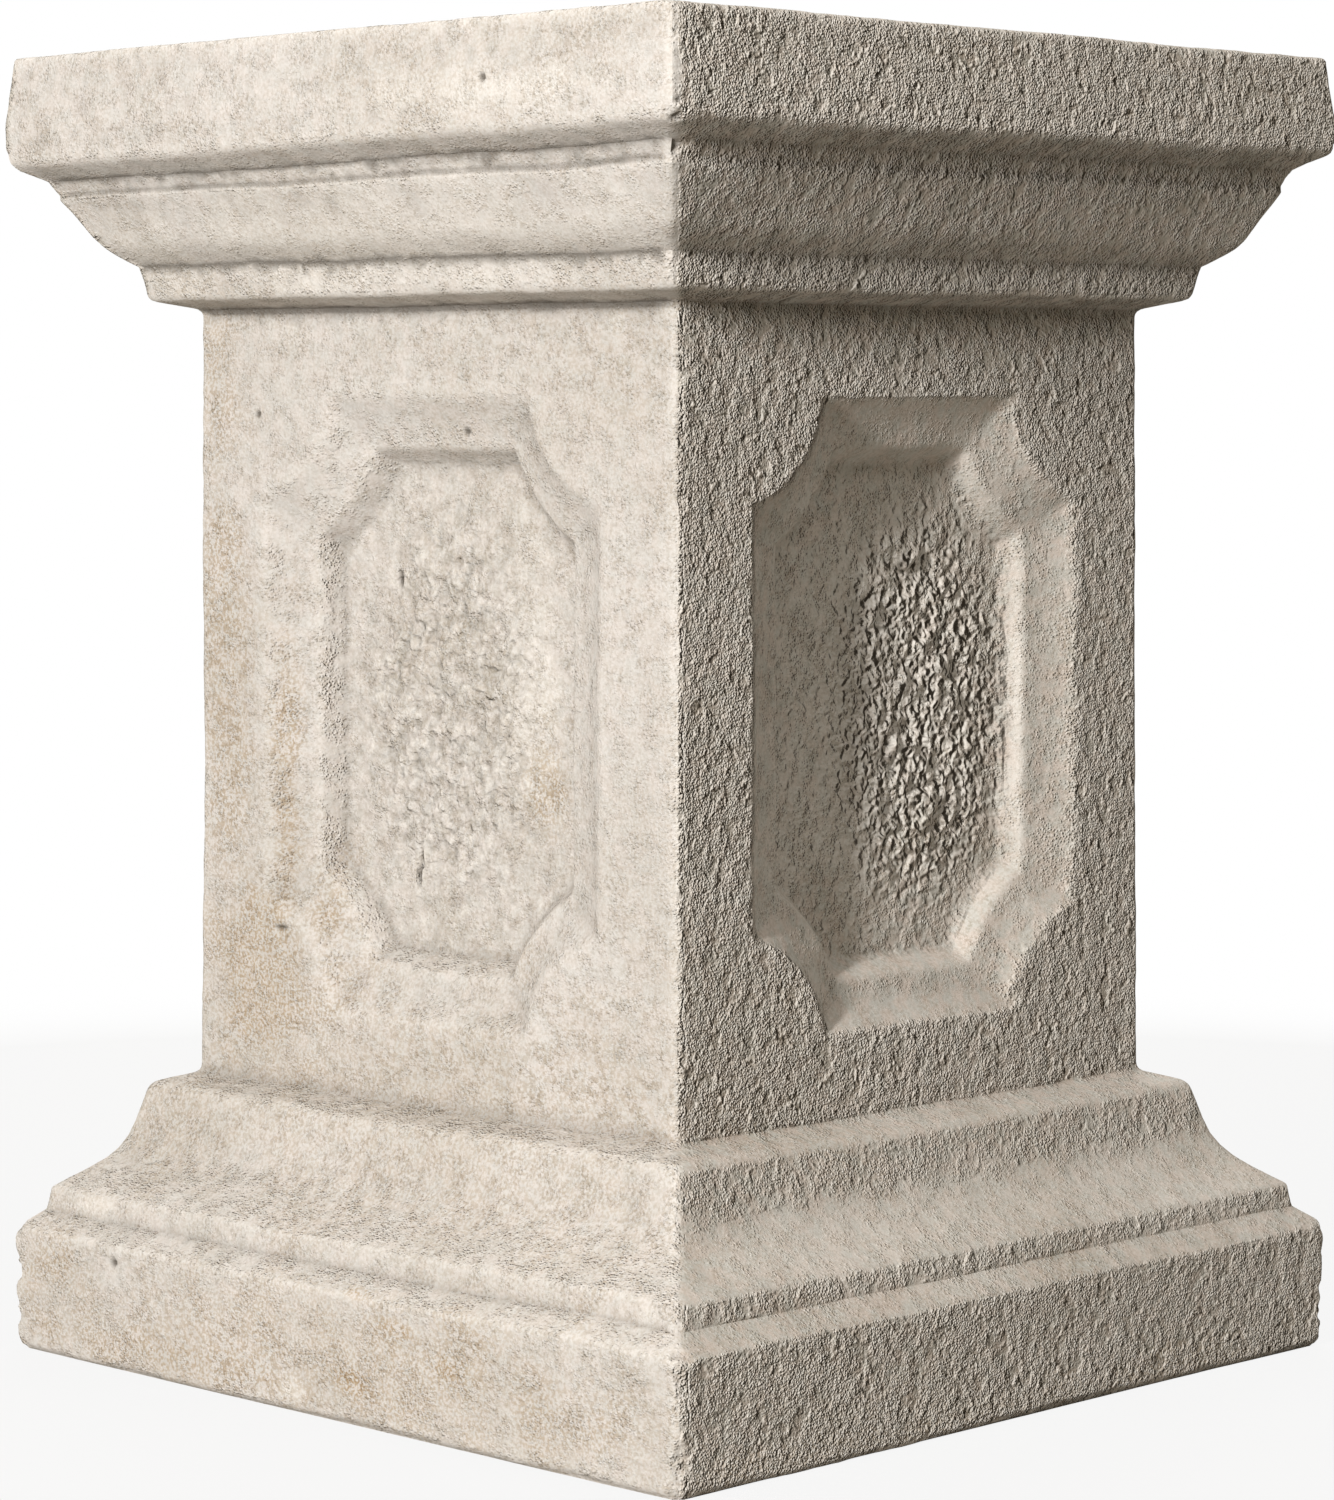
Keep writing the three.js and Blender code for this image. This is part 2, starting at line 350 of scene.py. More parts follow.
def work_by_hand(net, settings):
    """Leaves the faces a little uneven, as trowel and brush do."""
    normals = net.normals()
    rough = 0.6 + 0.6 * drift(net.points, 90 * MM, SEED_HAND)
    relief = settings.unevenness * layered(net.points, 17 * MM, SEED_HAND + 1, 2)
    relief += 0.45 * settings.unevenness * rough * drift(net.points, 6.5 * MM, SEED_HAND + 5)
    net.points += normals * relief[:, None]


def panel_mask(net):
    """1 inside the sunk panels and 0 elsewhere, with a short slope at their edges."""
    _, across, out = net.by_face()
    level = net.points[:, 2]
    inside = (np.abs(level - PANEL_LEVEL) < PANEL_HALF_HEIGHT) & (np.abs(across) < PANEL_HALF_WIDTH)
    return smoothstep(shaft_half(level) - out, 0.3 * MM, 2.5 * MM) * inside


def soften_panels(net, settings):
    """Rounds the edges in the panels, softer from the mould than the rest, and rubs the front one's rim."""
    share = settings.panel_softness * panel_mask(net)
    net.points += (net.relaxed(PANEL_ROUNDS) - net.points) * share[:, None]
    face, across, out = net.by_face()
    level = net.points[:, 2]
    rim = (face == FRONT) * (1 - smoothstep(shaft_half(level) - out, 4 * MM, 8 * MM))
    rim *= smoothstep(np.abs(across), PANEL_HALF_WIDTH + 8 * MM, PANEL_HALF_WIDTH)
    rim *= smoothstep(np.abs(level - PANEL_LEVEL), PANEL_HALF_HEIGHT + 8 * MM, PANEL_HALF_HEIGHT)
    net.points += (net.relaxed(RIM_ROUNDS) - net.points) * rim[:, None]


def wear_arrises(net, settings):
    """Rubs the arrises down unevenly and leaves them ragged."""
    soft = net.relaxed(WEAR_ROUNDS)
    stand = ((net.points - soft) * net.normals()).sum(axis=1)
    rub = 0.5 + 0.8 * layered(net.points, 22 * MM, SEED_WEAR, 2)
    rub = settings.arris_wear * np.clip(rub, 0, 1.5) * smoothstep(stand, 0.03 * MM, 0.25 * MM)
    rub *= 1 - 0.6 * smoothstep(net.points[:, 2], SHAFT_HEAD_LEVEL - 20 * MM, SHAFT_HEAD_LEVEL)
    net.points += (soft - net.points) * rub[:, None]
    nibbles = drift(net.points, 4.5 * MM, SEED_RAG) + 0.4 * drift(net.points, 40 * MM, SEED_RAG + 1)
    depth = settings.raggedness * np.maximum(nibbles, 0) * smoothstep(stand, 0.15 * MM, 0.45 * MM)
    net.points -= net.normals() * depth[:, None]


def chip_arrises(net, settings):
    """Knocks small flat chips off the arrises of the plinth and of the slab's foot."""
    dice = np.random.default_rng(SEED_CHIP)
    normals = net.normals()
    level = net.points[:, 2]
    low = level < SHAFT_FOOT_LEVEL / 2
    high = (level > SLAB_FOOT_LEVEL - 12 * MM) & (level < SLAB_FOOT_LEVEL + 6 * MM)
    exposed = np.flatnonzero((net.proud(CHIP_ROUNDS) > 0.5 * MM) & (level > 1 * MM) & (low | high))
    for seat in dice.choice(exposed, settings.chips, replace=False):
        reach = dice.uniform(2, 5.5) * MM
        depth = reach * dice.uniform(0.08, 0.22)
        facing = normals[seat] + dice.normal(0, 0.3, 3)
        facing /= np.linalg.norm(facing)
        near = np.flatnonzero((np.abs(net.points - net.points[seat]) < reach).all(axis=1))
        away = net.points[near] - net.points[seat]
        over = np.maximum(away @ facing + depth, 0)
        over *= 1 - smoothstep(np.linalg.norm(away, axis=1), 0.6 * reach, reach)
        net.points[near] -= over[:, None] * facing


def sink_pits(net):
    """Sinks the few larger blow holes, and returns how deep each point lies in one."""
    face, across, _ = net.by_face()
    pitted = np.zeros(len(net.points))
    for on_face, place, level, width, height, depth in PITS:
        away = np.hypot((across - place) / width, (net.points[:, 2] - level) / height)
        hit = np.flatnonzero((face == on_face) & (away < 2))
        share = 1 - smoothstep(away[hit], 0.3, 1.5)
        net.points[hit, :2] -= OUTWARDS[on_face] * (depth * share)[:, None]
        pitted[hit] = np.maximum(pitted[hit], share)
    return pitted


def grit_of(net):
    """How coarse the skin is: rubbed fine on the front, smooth in the other panels and on the ledges."""
    face, _, _ = net.by_face()
    level = net.points[:, 2]
    facing_up = net.normals()[:, 2]
    in_mouldings = smoothstep(level, 46 * MM, 54 * MM) * (1 - smoothstep(level, 118 * MM, SHAFT_FOOT_LEVEL))
    near_ground = 1 - smoothstep(level, 8 * MM, 30 * MM)
    on_plinth = 1 - smoothstep(level, 42 * MM, 48 * MM)
    under_cap = smoothstep(level, 410 * MM, 440 * MM) * (1 - smoothstep(level, 450 * MM, 453 * MM))
    grit = 0.9 + 0.4 * drift(net.points, 70 * MM, SEED_GRIT)
    grit *= (1 - 0.85 * panel_mask(net)) * (1 - 0.5 * in_mouldings)
    grit *= 1 - 0.85 * smoothstep(facing_up, 0.2, 0.5)
    grit *= (1 - on_plinth * (0.3 - 0.5 * near_ground)) * (1 - 0.5 * under_cap)
    grit = np.where(face == FRONT, FRONT_GRIT, grit)
    return grit * (1 - 0.6 * smoothstep(-facing_up, 0.2, 0.55))


def blotted(net, spots):
    """The strength of soft-edged spots on the faces, each broken up by drift."""
    face, across, _ = net.by_face()
    ragged = layered(net.points, 30 * MM, SEED_SPOT, 3)
    total = np.zeros(len(net.points))
    for on_face, place, level, width, height, strength in spots:
        away = np.hypot((across - place) / width, (net.points[:, 2] - level) / height) + 0.5 * ragged
        spot = strength * (1 - smoothstep(away, 0.2, 1.1)) * (face == on_face)
        total = np.maximum(total, spot)
    return total


def seat_on_ground(net, underside):
    """Keeps the underside flat on the ground and the top inside the solid's height."""
    net.points[:, 2] = np.clip(net.points[:, 2], 0, HIGH.z)
    net.points[underside, 2] = 0


def store(mesh, name, values):
    layer = mesh.attributes.new(name, "FLOAT", "POINT")
    layer.data.foreach_set("value", values.astype(np.float32))


def thin_out(piece, triangles, whole):
    """Spends the triangles where the relief is, within the given number, and spares the `whole` points."""
    now = sum(len(face.vertices) - 2 for face in piece.data.polygons)
    open_to = piece.vertex_groups.new(name="Open to thinning")
    open_to.add(list(range(len(piece.data.vertices))), 1, "REPLACE")
    open_to.add(whole.tolist(), 0, "REPLACE")
    thin = piece.modifiers.new("Thin out", "DECIMATE")
    thin.vertex_group = open_to.name
    thin.ratio = min(1, triangles / now)
    apply_modifiers(piece)
    piece.vertex_groups.clear()
    piece.data.shade_smooth()
    piece.data.set_sharp_from_angle(angle=SHARP_ANGLE)


def add(tree, kind, sockets=None, out=None, **settings):
    """Adds a node with its options and its inputs, set or linked, and returns the named or first output."""
    made = tree.nodes.new(kind)
    for option, value in settings.items():
        setattr(made, option, value)
    for key, value in (sockets or {}).items():
        socket = next(s for s in made.inputs if key in (s.identifier, s.name))
        if isinstance(value, bpy.types.NodeSocket):
            tree.links.new(value, socket)
        else:
            socket.default_value = value
    return next((s for s in made.outputs if s.enabled and out in (None, s.name)), None)


def per_mm(size):
    """Scale of a texture whose cells are that many millimetres across."""
    return 1000 / size


def weathered_cast_stone(settings):
    """Cast stone: sand, lime and crushed stone from a mould, brushed and left out of doors.

    It gives a matt, sandy skin with clouds of cream and grey, earth stains, pale bloom on the arrises, soil
    and painted shade in the creases, painted shade on the front's base, and painted shade and highlights on
    the grains.
    """
    stone = bpy.data.materials.new("weathered_cast_stone")
    stone.use_nodes = True
    stone.cycles.use_bump_map_correction = False
    tree = stone.node_tree
    tree.nodes.clear()
    place = add(tree, "ShaderNodeTexCoord", out="Object")
    marks = {
        name: add(tree, "ShaderNodeAttribute", out="Fac", attribute_name=name)
        for name in (
            "arris", "crease_soil_and_shade", "pecked", "mottled", "grit", "from_arris", "lapped", "aged", "stain_and_base_shade", "bloom")
    }

    # Sand grains, standing out more in some patches than in others, with a few coarse ones
    leaning = add(tree, "ShaderNodeMapping", {
        "Vector": place, "Rotation": (math.radians(-24), 0, 0), "Scale": (1, 1, 0.8),
    }, vector_type="TEXTURE")
    off_grain = add(tree, "ShaderNodeTexVoronoi", {
        "Vector": leaning, "Scale": per_mm(settings.grain_size / MM),
    }, out="Distance", feature="F1")
    rounded = add(tree, "ShaderNodeMapRange", {
        "Value": off_grain, "From Max": 0.6, "To Min": 0.5, "To Max": 0,
    }, interpolation_type="SMOOTHSTEP")
    sandy = add(tree, "ShaderNodeTexNoise", {
        "Vector": leaning, "Scale": per_mm(0.7 * settings.grain_size / MM), "Detail": 1, "Roughness": 0.5,
    })
    grain = add(tree, "ShaderNodeMath", {
        "Value": sandy, "Value_001": 0.6, "Value_002": rounded,
    }, operation="MULTIPLY_ADD")
    rough_patches = add(tree, "ShaderNodeTexNoise", {
        "Vector": place, "Scale": per_mm(9), "Detail": 3, "Roughness": 0.6,
    })
    grip = add(tree, "ShaderNodeMapRange", {
        "Value": rough_patches, "From Min": 0.38, "From Max": 0.66, "To Min": 0.2, "To Max": 1.8,
    })
    gripped = add(tree, "ShaderNodeMath", {"Value": grain, "Value_001": grip}, operation="MULTIPLY")
    clods = add(tree, "ShaderNodeTexNoise", {
        "Vector": leaning, "Scale": per_mm(settings.clod_size / MM), "Detail": 1, "Roughness": 0.5,
        "Distortion": 0.3,
    })
    coarse = add(tree, "ShaderNodeMapRange", {
        "Value": clods, "From Min": 0.5, "From Max": 0.75, "To Max": 0.5,
    })
    relief = add(tree, "ShaderNodeMath", {"Value": gripped, "Value_001": coarse}, operation="ADD")
    relief = add(tree, "ShaderNodeMath", {"Value": relief, "Value_001": marks["grit"]}, operation="MULTIPLY")

    # Higher lumps in the pecked fields
    lumps = add(tree, "ShaderNodeMath", {"Value": marks["pecked"], "Value_001": 2.1}, operation="MULTIPLY")
    relief = add(tree, "ShaderNodeMath", {
        "Value": clods, "Value_001": lumps, "Value_002": relief,
    }, operation="MULTIPLY_ADD")

    # A ragged line beside the corner arrises, where the skin of one face laps over the next
    wander = add(tree, "ShaderNodeTexNoise", {
        "Vector": place, "Scale": per_mm(14), "Detail": 4, "Roughness": 0.6,
    })
    lap_place = add(tree, "ShaderNodeMath", {
        "Value": wander, "Value_001": -9 * MM, "Value_002": 1 * MM,
    }, operation="MULTIPLY_ADD")
    off_lap = add(tree, "ShaderNodeMath", {
        "Value": marks["from_arris"], "Value_001": lap_place,
    }, operation="ADD")
    off_lap = add(tree, "ShaderNodeMath", {"Value": off_lap}, operation="ABSOLUTE")
    lap = add(tree, "ShaderNodeMapRange", {
        "Value": off_lap, "From Min": 0.2 * MM, "From Max": 0.9 * MM, "To Min": 1, "To Max": 0,
    }, interpolation_type="SMOOTHSTEP")
    lap = add(tree, "ShaderNodeMath", {"Value": lap, "Value_001": marks["lapped"]}, operation="MULTIPLY")
    lap_depth = add(tree, "ShaderNodeMapRange", {
        "Value": rough_patches, "From Min": 0.45, "From Max": 0.65, "To Max": 0.8,
    })
    lap = add(tree, "ShaderNodeMath", {"Value": lap, "Value_001": lap_depth}, operation="MULTIPLY")
    relief = add(tree, "ShaderNodeMath", {"Value": relief, "Value_001": lap}, operation="SUBTRACT")
    sanded = add(tree, "ShaderNodeBump", {
        "Height": relief, "Strength": 1, "Distance": settings.grain_height,
    })

    # Clouds of cream and cool grey, a hand's breadth across
    clouds = add(tree, "ShaderNodeTexNoise", {
        "Vector": place, "Scale": per_mm(85), "Detail": 6, "Roughness": 0.62, "Distortion": 0.4,
    })
    cloud_share = add(tree, "ShaderNodeMapRange", {
        "Value": clouds, "From Min": 0.38, "From Max": 0.64,
    }, interpolation_type="SMOOTHSTEP")
    tone = add(tree, "ShaderNodeMix", {
        "Factor_Float": cloud_share, "A_Color": (*settings.cream, 1), "B_Color": (*settings.grey, 1),
    }, data_type="RGBA")

    # A mottle of warmer and cooler stone, stronger on the weather sides
    tints = add(tree, "ShaderNodeTexNoise", {
        "Vector": place, "Scale": per_mm(7), "Detail": 4, "Roughness": 0.65,
    })
    tint_share = add(tree, "ShaderNodeMapRange", {
        "Value": tints, "From Min": 0.36, "From Max": 0.64,
    }, interpolation_type="SMOOTHSTEP")
    tint = add(tree, "ShaderNodeMix", {
        "Factor_Float": tint_share, "A_Color": (*settings.warm_tint, 1), "B_Color": (*settings.cool_tint, 1),
    }, data_type="RGBA")
    tone = add(tree, "ShaderNodeMix", {
        "Factor_Float": marks["aged"], "A_Color": tone, "B_Color": tint,
    }, data_type="RGBA", blend_type="MULTIPLY")

    # Earth stains, and the painted shade on the front's base, caught on the sand grains
    speckle = add(tree, "ShaderNodeTexNoise", {
        "Vector": place, "Scale": per_mm(1.4), "Detail": 2, "Roughness": 0.6,
    })
    caught = add(tree, "ShaderNodeMapRange", {
        "Value": speckle, "From Min": 0.56, "From Max": 0.42, "To Min": 0.1, "To Max": 1.3,
    }, interpolation_type="SMOOTHSTEP")
    dust = add(tree, "ShaderNodeMapRange", {
        "Value": clouds, "From Min": 0.45, "From Max": 0.65, "To Min": 0.03, "To Max": 0.16,
    })
    stain_and_base_shade = add(tree, "ShaderNodeMath", {"Value": marks["stain_and_base_shade"], "Value_001": dust}, operation="MAXIMUM")
    stain_and_base_shade = add(tree, "ShaderNodeMath", {"Value": stain_and_base_shade, "Value_001": caught}, operation="MULTIPLY")
    tone = add(tree, "ShaderNodeMix", {
        "Factor_Float": stain_and_base_shade, "A_Color": tone, "B_Color": (*settings.earth_and_base_shade, 1),
    }, data_type="RGBA")

    # Grey soil and pale lime in blots among the lumps
    mottle = add(tree, "ShaderNodeTexNoise", {
        "Vector": place, "Scale": per_mm(6.5), "Detail": 5, "Roughness": 0.7,
    })
    for low, high, most, colour in ((0.46, 0.66, 0.45, settings.soil), (0.48, 0.34, 0.7, settings.bloom)):
        blot = add(tree, "ShaderNodeMapRange", {
            "Value": mottle, "From Min": low, "From Max": high, "To Max": most,
        }, interpolation_type="SMOOTHSTEP")
        share = add(tree, "ShaderNodeMath", {
            "Value": blot, "Value_001": marks["mottled"],
        }, operation="MULTIPLY")
        tone = add(tree, "ShaderNodeMix", {
            "Factor_Float": share, "A_Color": tone, "B_Color": (*colour, 1),
        }, data_type="RGBA")

    # A film of soil on the coarse skin
    film = add(tree, "ShaderNodeMath", {"Value": marks["grit"], "Value_001": 0.46}, operation="MULTIPLY")
    tone = add(tree, "ShaderNodeMix", {
        "Factor_Float": film, "A_Color": tone, "B_Color": (*settings.soil, 1),
    }, data_type="RGBA")

    # Pale bloom, and pale arrises where the skin is rubbed
    rubbed = add(tree, "ShaderNodeMath", {"Value": marks["arris"], "Value_001": 0.5}, operation="MULTIPLY")
    pale = add(tree, "ShaderNodeMath", {"Value": marks["bloom"], "Value_001": rubbed}, operation="MAXIMUM")
    tone = add(tree, "ShaderNodeMix", {
        "Factor_Float": pale, "A_Color": tone, "B_Color": (*settings.bloom, 1),
    }, data_type="RGBA")

    # Soil and painted shade in the creases and blow holes, the painted shade strongest under the cap
    crease_soil_and_shade = add(tree, "ShaderNodeMath", {"Value": marks["crease_soil_and_shade"], "Value_001": 0.9}, operation="MULTIPLY")
    tone = add(tree, "ShaderNodeMix", {
        "Factor_Float": crease_soil_and_shade, "A_Color": tone, "B_Color": (*settings.grime_and_painted_shade, 1),
    }, data_type="RGBA")

    # Painted shade on the sides of the grains turned away from the light, which shows most on the faces that
    # the light grazes; the front, lit head on, gets little
    face_normal = add(tree, "ShaderNodeNewGeometry", out="Normal")
    face_to_light = add(tree, "ShaderNodeVectorMath", {
        "Vector": face_normal, "Vector_001": PAINTED_LIGHT_SIDE,
    }, out="Value", operation="DOT_PRODUCT")
    grain_to_light = add(tree, "ShaderNodeVectorMath", {
        "Vector": sanded, "Vector_001": PAINTED_LIGHT_SIDE,
    }, out="Value", operation="DOT_PRODUCT")
    flatness = add(tree, "ShaderNodeVectorMath", {
        "Vector": sanded, "Vector_001": face_normal,
    }, out="Value", operation="DOT_PRODUCT")
    expected = add(tree, "ShaderNodeMath", {
        "Value": face_to_light, "Value_001": flatness,
    }, operation="MULTIPLY")
    grain_turn_to_light = add(tree, "ShaderNodeMath", {
        "Value": grain_to_light, "Value_001": expected,
    }, operation="SUBTRACT")
    painted_grain_shade = add(tree, "ShaderNodeMapRange", {
        "Value": grain_turn_to_light, "From Min": -0.06, "From Max": -0.45, "To Max": 0.95,
    })
    tone = add(tree, "ShaderNodeMix", {
        "Factor_Float": painted_grain_shade, "A_Color": tone, "B_Color": (*settings.grime_and_painted_shade, 1),
    }, data_type="RGBA")
    # Painted highlight on the sides of the grains turned to the light
    painted_grain_highlight = add(tree, "ShaderNodeMapRange", {
        "Value": grain_turn_to_light, "From Min": 0.15, "From Max": 0.6, "To Max": 0.6,
    })
    tone = add(tree, "ShaderNodeMix", {
        "Factor_Float": painted_grain_highlight, "A_Color": tone, "B_Color": (*settings.bloom, 1),
    }, data_type="RGBA")

    # Brown sand that shows in patches where the lime is worn off it
    sand = add(tree, "ShaderNodeMapRange", {"Value": speckle, "From Min": 0.62, "From Max": 0.28})
    bare = add(tree, "ShaderNodeMapRange", {
        "Value": rough_patches, "From Min": 0.4, "From Max": 0.62, "To Min": 0.45, "To Max": 0.95,
    })
    worn = add(tree, "ShaderNodeMath", {"Value": sand, "Value_001": bare}, operation="MULTIPLY")
    tone = add(tree, "ShaderNodeMix", {
        "Factor_Float": worn, "A_Color": tone, "B_Color": (*settings.sand, 1),
    }, data_type="RGBA", blend_type="MULTIPLY")
    surface = add(tree, "ShaderNodeBsdfPrincipled", {
        "Base Color": tone, "Roughness": settings.roughness, "Specular IOR Level": 0.3, "Normal": sanded,
    })
    add(tree, "ShaderNodeOutputMaterial", {"Surface": surface})
    return stone


class CastingSettings(bpy.types.PropertyGroup):
    """Sizes of the casting's unevenness and wear."""

    grid: bpy.props.FloatProperty(
        name="Net spacing", description="Spacing of the points that the relief is worked into",
        default=1.4 * MM, min=1 * MM, max=6 * MM, unit="LENGTH", precision=4)
    triangles: bpy.props.IntProperty(
        name="Triangles", description="Most triangles in the finished casting", default=196000, min=20000)
    sag: bpy.props.FloatProperty(
        name="Mould sag", description="How far the form wanders from the true one",
        default=0.9 * MM, unit="LENGTH", precision=4)
    sag_length: bpy.props.FloatProperty(
        name="Sag length", description="Distance over which the form wanders",
        default=170 * MM, unit="LENGTH")
    moulding_wander: bpy.props.FloatProperty(
        name="Moulding wander", description="How far the mouldings rise and fall along their length",
        default=0.6 * MM, unit="LENGTH", precision=4)
    cap_twist: bpy.props.FloatProperty(
        name="Cap twist", description="Turn of the cap on the shaft", default=math.radians(-0.6),
        subtype="ANGLE")
    base_twist: bpy.props.FloatProperty(
        name="Base twist", description="Turn of the base under the shaft", default=math.radians(-0.3),
        subtype="ANGLE")
    slab_lean: bpy.props.FloatProperty(
        name="Slab lean", description="Rise of the slab's lower edge from one corner to the next but one",
        default=2.7 * MM, unit="LENGTH", precision=4)
    lump_width: bpy.props.FloatProperty(
        name="Lump width", description="Width of a lump in the pecked fields",
        default=7 * MM, unit="LENGTH", precision=4)
    lump_length: bpy.props.FloatProperty(
        name="Lump length", description="Upright length of a lump in the pecked fields",
        default=8.5 * MM, unit="LENGTH", precision=4)
    lump_height: bpy.props.FloatProperty(
        name="Lump height", description="Height of a lump in the pecked fields",
        default=1.5 * MM, unit="LENGTH", precision=4)
    panel_softness: bpy.props.FloatProperty(
        name="Panel softness", description="How far the edges inside the panels are rounded",
        default=0.85, min=0, max=1, subtype="FACTOR")
    unevenness: bpy.props.FloatProperty(
        name="Unevenness", description="Height of the unevenness left by hand on the faces",
        default=0.35 * MM, unit="LENGTH", precision=4)
    arris_wear: bpy.props.FloatProperty(
        name="Arris wear", description="How far the arrises are rubbed down",
        default=0.4, min=0, max=1, subtype="FACTOR")
    raggedness: bpy.props.FloatProperty(
        name="Raggedness", description="Depth of the nibbles along the arrises",
        default=0.3 * MM, unit="LENGTH", precision=4)
    chips: bpy.props.IntProperty(
        name="Chips", description="Number of small chips knocked off the arrises", default=120, min=0)


class StoneSettings(bpy.types.PropertyGroup):
    """Colours and grain of the cast stone."""

    cream: bpy.props.FloatVectorProperty(
        name="Cream", description="Main colour of the stone", subtype="COLOR", default=linear("#d0cbc7"))
    grey: bpy.props.FloatVectorProperty(
        name="Grey", description="Cooler, greyer clouds", subtype="COLOR", default=linear("#c7c2bd"))
    warm_tint: bpy.props.FloatVectorProperty(
        name="Warm tint", description="Tint of the warmer patches", subtype="COLOR",
        default=linear("#fff6ee"))
    cool_tint: bpy.props.FloatVectorProperty(
        name="Cool tint", description="Tint of the cooler patches", subtype="COLOR",
        default=linear("#f3f5f0"))
    sand: bpy.props.FloatVectorProperty(
        name="Sand", description="Tint of bare sand", subtype="COLOR", default=linear("#d6d0c6"))
    # Colour of the earth stains, and of the painted shade on the front's base
    earth_and_base_shade: bpy.props.FloatVectorProperty(
        name="Earth", description="Earth stains", subtype="COLOR", default=linear("#b09a7e"))
    # Also the colour of the painted highlights on the sides of the grains turned to the light
    bloom: bpy.props.FloatVectorProperty(
        name="Bloom", description="Pale bloom and rubbed arrises", subtype="COLOR", default=linear("#e2dcd4"))
    soil: bpy.props.FloatVectorProperty(
        name="Soil", description="Film and blots of soil", subtype="COLOR", default=linear("#8f8472"))
    # Colour of the soil and painted shade in the creases, and of the painted shade on the sides of the grains
    # away from the light
    grime_and_painted_shade: bpy.props.FloatVectorProperty(
        name="Grime", description="Grime in the creases and in the lee of the grains", subtype="COLOR",
        default=linear("#443c31"))
    grain_size: bpy.props.FloatProperty(
        name="Grain size", description="Width of one sand grain",
        default=1.35 * MM, unit="LENGTH", precision=4)
    clod_size: bpy.props.FloatProperty(
        name="Clod size", description="Width of one clod of sand",
        default=4.8 * MM, unit="LENGTH", precision=4)
    grain_height: bpy.props.FloatProperty(
        name="Grain height", description="Height of the sand grains", default=3.4 * MM, unit="LENGTH",
        precision=4)
    roughness: bpy.props.FloatProperty(
        name="Roughness", description="Roughness of the matt skin", default=0.92, subtype="FACTOR")


class StageSettings(bpy.types.PropertyGroup):
    """Camera, floor and lights."""

    camera_azimuth: bpy.props.FloatProperty(
        name="Camera azimuth", description="Direction of the camera round the pedestal",
        default=math.radians(44.2), subtype="ANGLE")
    camera_distance: bpy.props.FloatProperty(
        name="Camera distance", description="Level distance of the camera from the pedestal's axis",
        default=1951.7 * MM, unit="LENGTH")
    camera_height: bpy.props.FloatProperty(
        name="Camera height", description="Height of the camera over the floor",
        default=408.7 * MM, unit="LENGTH")
    camera_pitch: bpy.props.FloatProperty(
        name="Camera pitch", description="How far the camera looks down", default=math.radians(4.31),
        subtype="ANGLE")
    camera_turn: bpy.props.FloatProperty(
        name="Camera turn", description="How far the camera looks past the axis, to the left",
        default=math.radians(0.038), subtype="ANGLE")
    lens: bpy.props.FloatProperty(
        name="Lens", description="Focal length for a 36 mm film side", default=108.4, unit="CAMERA")
    key_azimuth: bpy.props.FloatProperty(
        name="Key azimuth", description="Direction of the main light round the pedestal",
        default=math.radians(14.3), subtype="ANGLE")
    key_elevation: bpy.props.FloatProperty(
        name="Key elevation", description="Height of the main light over the horizon",
        default=math.radians(17), subtype="ANGLE")
    key_distance: bpy.props.FloatProperty(
        name="Key distance", description="Distance of the main light", default=2.6, unit="LENGTH")
    key_width: bpy.props.FloatProperty(
        name="Key width", description="Width of the main light's panel", default=0.16, unit="LENGTH")
    key_height: bpy.props.FloatProperty(
        name="Key height", description="Height of the main light's panel", default=0.75, unit="LENGTH")
    key_power: bpy.props.FloatProperty(
        name="Key power", description="Power of the main light", default=77, unit="POWER")
    top_power: bpy.props.FloatProperty(
        name="Top power", description="Power of the soft light overhead", default=12, unit="POWER")
    side_power: bpy.props.FloatProperty(
        name="Side power", description="Power of the soft light high on the right", default=24, unit="POWER")
    back_power: bpy.props.FloatProperty(
        name="Back power", description="Power of the soft light behind", default=60, unit="POWER")
    fill: bpy.props.FloatProperty(
        name="Fill", description="Brightness of the light from all round", default=0.2)
    fill_colour: bpy.props.FloatVectorProperty(
        name="Fill colour", description="Colour of the light from all round", subtype="COLOR",
        default=linear("#fff4dc"))
    backdrop: bpy.props.FloatVectorProperty(
        name="Backdrop", description="Colour behind the pedestal", subtype="COLOR", default=linear("#ffffff"))
    floor: bpy.props.FloatVectorProperty(
        name="Floor", description="Colour of the floor", subtype="COLOR", default=linear("#a3a09b"))
    floor_thinness: bpy.props.FloatProperty(
        name="Floor thinness", description="How far the backdrop shows through the floor", default=0.88,
        subtype="FACTOR")
    floor_radius: bpy.props.FloatProperty(
        name="Floor radius", description="Distance at which the floor has faded into the backdrop",
        default=1.3, unit="LENGTH")


